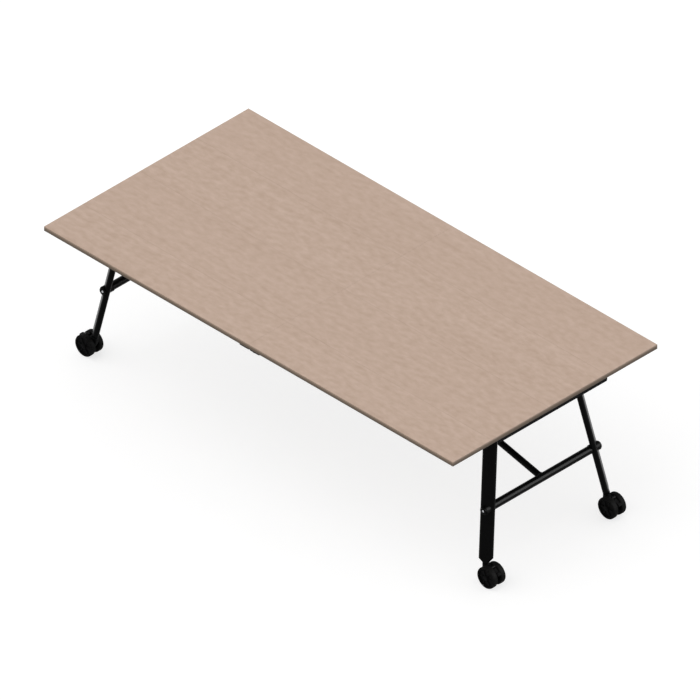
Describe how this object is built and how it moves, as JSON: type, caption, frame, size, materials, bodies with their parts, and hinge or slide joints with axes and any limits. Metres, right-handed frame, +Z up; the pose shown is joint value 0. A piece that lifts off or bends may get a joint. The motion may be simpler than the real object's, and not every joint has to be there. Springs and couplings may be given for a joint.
{
  "type": "folding conference table",
  "caption": "Long rectangular conference table on casters; the top folds up at its middle seam, so the splayed leg frames roll together for storage.",
  "frame": {"origin": "on the floor under the middle of the flat table", "axes": "+X along the table towards the end with the fixed leg frame, +Y across it, +Z up"},
  "size_m": [2.4636, 1.2, 0.755],
  "materials": {
    "veneer": "matt veneered board",
    "edge_band": "satin edge strip",
    "black_steel": "satin black coat",
    "steel": "bright zinc",
    "black_plastic": "fine grain",
    "wheel": "moulded"
  },
  "bodies": {
    "right_legs": {"leg_right_front": "black_steel", "leg_right_rear": "black_steel", "foot_sockets_right": "black_plastic", "crossbar_bushes_right": "black_plastic", "caster_stems_right": "steel"},
    "right_top": {"half_top_right": "veneer", "edge_bands_right": "edge_band", "end_rail_right": "black_steel", "side_rails_right": "black_steel", "centre_rail_right": "black_steel", "pivot_brackets_right": "black_steel", "pivot_pins_right": "steel", "strut_saddle_right": "black_steel", "hinge_leaves_right": "black_steel", "screws_right": "steel", "hinge_pins": "steel", "latch_guide": "black_plastic"},
    "right_brace": {"crossbar_right": "black_steel", "strut_right": "black_steel", "crossbar_caps_right": "black_plastic"},
    "left_legs": {"leg_left_front": "black_steel", "leg_left_rear": "black_steel", "foot_sockets_left": "black_plastic", "crossbar_bushes_left": "black_plastic", "caster_stems_left": "steel"},
    "left_top": {"half_top_left": "veneer", "edge_bands_left": "edge_band", "end_rail_left": "black_steel", "side_rails_left": "black_steel", "centre_rail_left": "black_steel", "pivot_brackets_left": "black_steel", "pivot_pins_left": "steel", "strut_saddle_left": "black_steel", "hinge_leaves_left": "black_steel", "screws_left": "steel", "latch_keeper": "black_plastic"},
    "left_brace": {"crossbar_left": "black_steel", "strut_left": "black_steel", "crossbar_caps_left": "black_plastic"},
    "latch": {"latch_bolt": "steel"},
    "caster_right_front": {"caster_body_right_front": "black_plastic", "caster_axle_right_front": "steel"},
    "wheel_right_front_outer": {"wheel_right_front_outer": "wheel"},
    "wheel_right_front_inner": {"wheel_right_front_inner": "wheel"},
    "pedal_right_front": {"brake_pedal_right_front": "black_plastic"},
    "caster_right_rear": {"caster_body_right_rear": "black_plastic", "caster_axle_right_rear": "steel"},
    "wheel_right_rear_outer": {"wheel_right_rear_outer": "wheel"},
    "wheel_right_rear_inner": {"wheel_right_rear_inner": "wheel"},
    "pedal_right_rear": {"brake_pedal_right_rear": "black_plastic"},
    "caster_left_front": {"caster_body_left_front": "black_plastic", "caster_axle_left_front": "steel"},
    "wheel_left_front_outer": {"wheel_left_front_outer": "wheel"},
    "wheel_left_front_inner": {"wheel_left_front_inner": "wheel"},
    "pedal_left_front": {"brake_pedal_left_front": "black_plastic"},
    "caster_left_rear": {"caster_body_left_rear": "black_plastic", "caster_axle_left_rear": "steel"},
    "wheel_left_rear_outer": {"wheel_left_rear_outer": "wheel"},
    "wheel_left_rear_inner": {"wheel_left_rear_inner": "wheel"},
    "pedal_left_rear": {"brake_pedal_left_rear": "black_plastic"}
  },
  "joints": [
    {"name": "table_fold", "type": "hinge", "parent": "right_legs", "child": "right_top", "pos_m": [1.0734, 0, 0.673], "axis": [0, 1, 0], "range_deg": [0, 80]},
    {"name": "centre_fold", "type": "hinge", "parent": "right_top", "child": "left_top", "pos_m": [0, 0, 0.708], "axis": [0, -1, 0], "range_deg": [0, 160]},
    {"name": "left_leg_fold", "type": "hinge", "parent": "left_top", "child": "left_legs", "pos_m": [-1.0734, 0, 0.673], "axis": [0, 1, 0], "range_deg": [0, 80]},
    {"name": "right_brace_turn", "type": "hinge", "parent": "right_legs", "child": "right_brace", "pos_m": [1.117, 0, 0.335], "axis": [0, 1, 0], "range_deg": [0, 65.34]},
    {"name": "left_brace_turn", "type": "hinge", "parent": "left_legs", "child": "left_brace", "pos_m": [-1.117, 0, 0.335], "axis": [0, -1, 0], "range_deg": [0, 65.34]},
    {"name": "latch_slide", "type": "slide", "parent": "right_top", "child": "latch", "axis": [-1, 0, 0], "range_m": [0, 0.026]},
    {"name": "swivel_right_front", "type": "hinge", "parent": "right_legs", "child": "caster_right_front", "pos_m": [1.14732, -0.35383, 0.1], "axis": [0, 0, 1], "continuous": true},
    {"name": "spin_right_front_outer", "type": "hinge", "parent": "caster_right_front", "child": "wheel_right_front_outer", "pos_m": [1.18032, -0.35383, 0.05], "axis": [0, 1, 0], "continuous": true},
    {"name": "spin_right_front_inner", "type": "hinge", "parent": "caster_right_front", "child": "wheel_right_front_inner", "pos_m": [1.18032, -0.35383, 0.05], "axis": [0, 1, 0], "continuous": true},
    {"name": "brake_right_front", "type": "hinge", "parent": "caster_right_front", "child": "pedal_right_front", "pos_m": [1.18792, -0.35383, 0.0933], "axis": [0, 1, 0], "range_deg": [0, 8]},
    {"name": "swivel_right_rear", "type": "hinge", "parent": "right_legs", "child": "caster_right_rear", "pos_m": [1.14732, 0.35383, 0.1], "axis": [0, 0, 1], "continuous": true},
    {"name": "spin_right_rear_outer", "type": "hinge", "parent": "caster_right_rear", "child": "wheel_right_rear_outer", "pos_m": [1.18032, 0.35383, 0.05], "axis": [0, 1, 0], "continuous": true},
    {"name": "spin_right_rear_inner", "type": "hinge", "parent": "caster_right_rear", "child": "wheel_right_rear_inner", "pos_m": [1.18032, 0.35383, 0.05], "axis": [0, 1, 0], "continuous": true},
    {"name": "brake_right_rear", "type": "hinge", "parent": "caster_right_rear", "child": "pedal_right_rear", "pos_m": [1.18792, 0.35383, 0.0933], "axis": [0, 1, 0], "range_deg": [0, 8]},
    {"name": "swivel_left_front", "type": "hinge", "parent": "left_legs", "child": "caster_left_front", "pos_m": [-1.14732, -0.35383, 0.1], "axis": [0, 0, 1], "continuous": true},
    {"name": "spin_left_front_outer", "type": "hinge", "parent": "caster_left_front", "child": "wheel_left_front_outer", "pos_m": [-1.18032, -0.35383, 0.05], "axis": [0, 1, 0], "continuous": true},
    {"name": "spin_left_front_inner", "type": "hinge", "parent": "caster_left_front", "child": "wheel_left_front_inner", "pos_m": [-1.18032, -0.35383, 0.05], "axis": [0, 1, 0], "continuous": true},
    {"name": "brake_left_front", "type": "hinge", "parent": "caster_left_front", "child": "pedal_left_front", "pos_m": [-1.18792, -0.35383, 0.0933], "axis": [0, -1, 0], "range_deg": [0, 8]},
    {"name": "swivel_left_rear", "type": "hinge", "parent": "left_legs", "child": "caster_left_rear", "pos_m": [-1.14732, 0.35383, 0.1], "axis": [0, 0, 1], "continuous": true},
    {"name": "spin_left_rear_outer", "type": "hinge", "parent": "caster_left_rear", "child": "wheel_left_rear_outer", "pos_m": [-1.18032, 0.35383, 0.05], "axis": [0, 1, 0], "continuous": true},
    {"name": "spin_left_rear_inner", "type": "hinge", "parent": "caster_left_rear", "child": "wheel_left_rear_inner", "pos_m": [-1.18032, 0.35383, 0.05], "axis": [0, 1, 0], "continuous": true},
    {"name": "brake_left_rear", "type": "hinge", "parent": "caster_left_rear", "child": "pedal_left_rear", "pos_m": [-1.18792, 0.35383, 0.0933], "axis": [0, -1, 0], "range_deg": [0, 8]}
  ],
  "couplings": [
    {"joint": "centre_fold", "follows": "table_fold", "ratio": 2},
    {"joint": "left_leg_fold", "follows": "table_fold", "ratio": 1},
    {"joint": "right_brace_turn", "follows": "table_fold", "ratio": 0.81657},
    {"joint": "left_brace_turn", "follows": "table_fold", "ratio": 0.81657}
  ]
}
